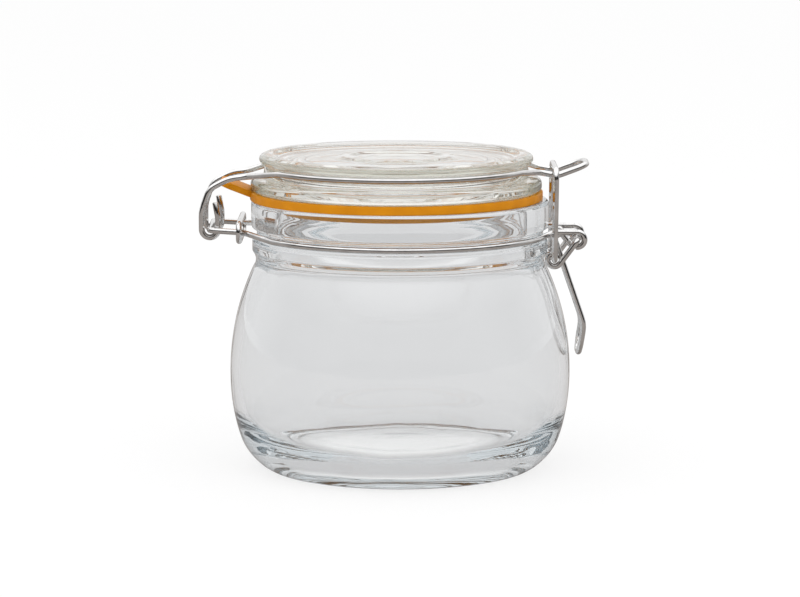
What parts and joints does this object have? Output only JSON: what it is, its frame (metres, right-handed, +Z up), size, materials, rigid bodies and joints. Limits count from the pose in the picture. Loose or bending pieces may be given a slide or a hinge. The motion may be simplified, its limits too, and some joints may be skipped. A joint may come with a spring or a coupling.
{
  "type": "clip-top glass storage jar",
  "caption": "Bellied glass storage jar with a hinged glass lid, a rubber sealing ring with a pull tab and an over-centre wire clasp.",
  "frame": {"origin": "on the jar's axis, in the plane of its foot ring", "axes": "+Z up along the jar's axis, +X towards the clasp and -X towards the hinge, +Y across"},
  "size_m": [0.1244, 0.1094, 0.101],
  "materials": {
    "jar_glass": "clear pressed glass",
    "lid_glass": "clear pressed glass",
    "rubber": "satin orange",
    "wire": "bright plated"
  },
  "bodies": {
    "jar": {"jar_body": "jar_glass", "neck_wire": "wire", "tie_ring": "wire"},
    "lid": {"glass_lid": "lid_glass", "gasket": "rubber", "lid_wire": "wire"},
    "lever": {"lever": "wire"},
    "link": {"locking_link": "wire"}
  },
  "joints": [
    {"name": "lever_swing", "type": "hinge", "parent": "jar", "child": "lever", "pos_m": [0.0564, 0, 0.0741], "axis": [0, -1, 0], "range_deg": [0, 150]},
    {"name": "link_swing", "type": "hinge", "parent": "lever", "child": "link", "pos_m": [0.0491, 0, 0.068], "axis": [0, -1, 0], "range_deg": [-150, 0]},
    {"name": "lid_hinge", "type": "hinge", "parent": "jar", "child": "lid", "pos_m": [-0.0604, 0, 0.0776], "axis": [0, -1, 0], "range_deg": [0, 112.5]}
  ],
  "couplings": [
    {"joint": "link_swing", "follows": "lever_swing", "ratio": -1},
    {"joint": "lid_hinge", "follows": "lever_swing", "ratio": 0.75}
  ]
}
